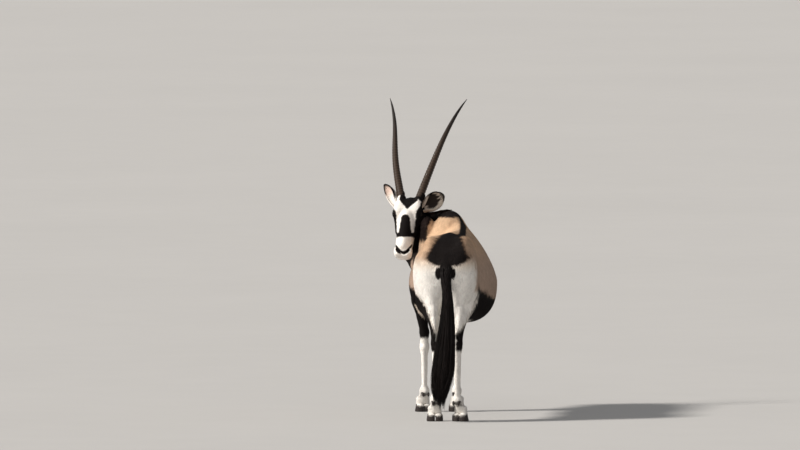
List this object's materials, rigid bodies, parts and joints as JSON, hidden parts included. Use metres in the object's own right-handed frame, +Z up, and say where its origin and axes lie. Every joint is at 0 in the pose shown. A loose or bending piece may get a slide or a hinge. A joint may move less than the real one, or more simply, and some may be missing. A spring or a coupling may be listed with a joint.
{
  "type": "gemsbok figure",
  "caption": "Life-size standing gemsbok that looks back over its shoulder, with long ringed horns, a short mane and a hanging tail.",
  "frame": {"origin": "middle of the outline on the floor", "axes": "+Z up, +Y the way the trunk heads, -X the animal's own left, to which the neck bends so that the head looks back along -Y"},
  "size_m": [0.7018, 1.6612, 1.7858],
  "materials": {
    "coat_fawn": "short fawn fur",
    "coat_dark": "short dark brown fur",
    "coat_white": "short white fur",
    "coat_black": "long black hair",
    "coat_ear": "fine short fur",
    "horn": "ringed horn",
    "hoof": "worn hoof",
    "eye": "wet"
  },
  "bodies": {
    "root": {"torso": "coat_fawn", "neck_lower": "coat_fawn", "neck_upper": "coat_fawn", "head": "coat_white", "ear_left": "coat_ear", "eye_left": "eye", "horn_left": "horn", "ear_right": "coat_ear", "eye_right": "eye", "horn_right": "horn", "tail": "coat_black", "hindleg_left_upper": "coat_dark", "hindleg_left_lower": "coat_white", "hindleg_left_claw_left": "hoof", "hindleg_left_dewclaw_left": "hoof", "hindleg_left_claw_right": "hoof", "hindleg_left_dewclaw_right": "hoof", "hindleg_right_upper": "coat_dark", "hindleg_right_lower": "coat_white", "hindleg_right_claw_left": "hoof", "hindleg_right_dewclaw_left": "hoof", "hindleg_right_claw_right": "hoof", "hindleg_right_dewclaw_right": "hoof", "foreleg_left_upper": "coat_dark", "foreleg_left_lower": "coat_white", "foreleg_left_claw_left": "hoof", "foreleg_left_dewclaw_left": "hoof", "foreleg_left_claw_right": "hoof", "foreleg_left_dewclaw_right": "hoof", "foreleg_right_upper": "coat_dark", "foreleg_right_lower": "coat_white", "foreleg_right_claw_left": "hoof", "foreleg_right_dewclaw_left": "hoof", "foreleg_right_claw_right": "hoof", "foreleg_right_dewclaw_right": "hoof"}
  },
  "joints": []
}
